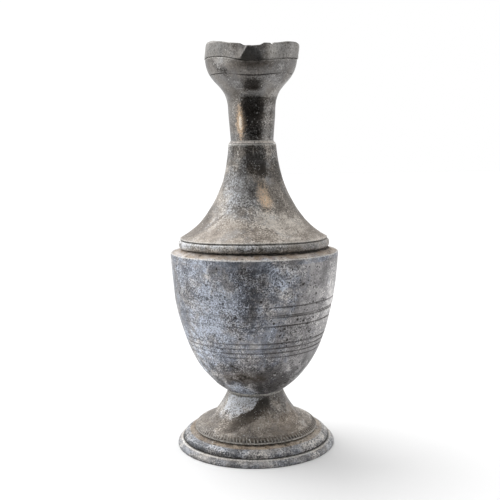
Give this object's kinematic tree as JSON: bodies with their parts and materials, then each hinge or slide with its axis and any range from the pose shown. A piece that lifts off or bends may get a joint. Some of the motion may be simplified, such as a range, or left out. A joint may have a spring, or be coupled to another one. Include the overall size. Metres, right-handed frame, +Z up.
{
  "type": "pewter ewer",
  "caption": "Pewter ewer: flared mouth with a pressed pouring lip, slender neck, bell-shaped shoulder, deep bowl and a stepped round foot with a milled edge.",
  "frame": {"origin": "on the axis, at the underside of the foot", "axes": "+Z up along the turning axis, pouring lip towards -Y"},
  "size_m": [0.1258, 0.1258, 0.3],
  "materials": {
    "pewter_warm": "dull weathered pewter with a warm brown cast",
    "pewter_taupe": "dull weathered pewter, taupe with pale and brown stains",
    "pewter_blue": "blue-grey weathered pewter with fine pale speckle and incised lines",
    "pewter_steel": "steel-grey worn pewter with pale edges",
    "pewter_dusty": "pewter under brown dust, matt",
    "solder": "pale dull tin-lead solder"
  },
  "bodies": {
    "root": {"rim_band": "pewter_warm", "rim_solder_seam": "solder", "mouth_and_neck": "pewter_warm", "neck_solder_seam": "solder", "shoulder": "pewter_taupe", "shoulder_bead": "pewter_taupe", "shoulder_solder_seam": "solder", "ledge_ring": "pewter_dusty", "ledge_solder_seam": "solder", "bowl": "pewter_blue", "waist_solder_seam": "solder", "foot_stem": "pewter_taupe", "stem_solder_seam": "solder", "foot_upper_ring": "pewter_steel", "base_solder_seam": "solder", "foot_base_ring": "pewter_steel"}
  },
  "joints": []
}
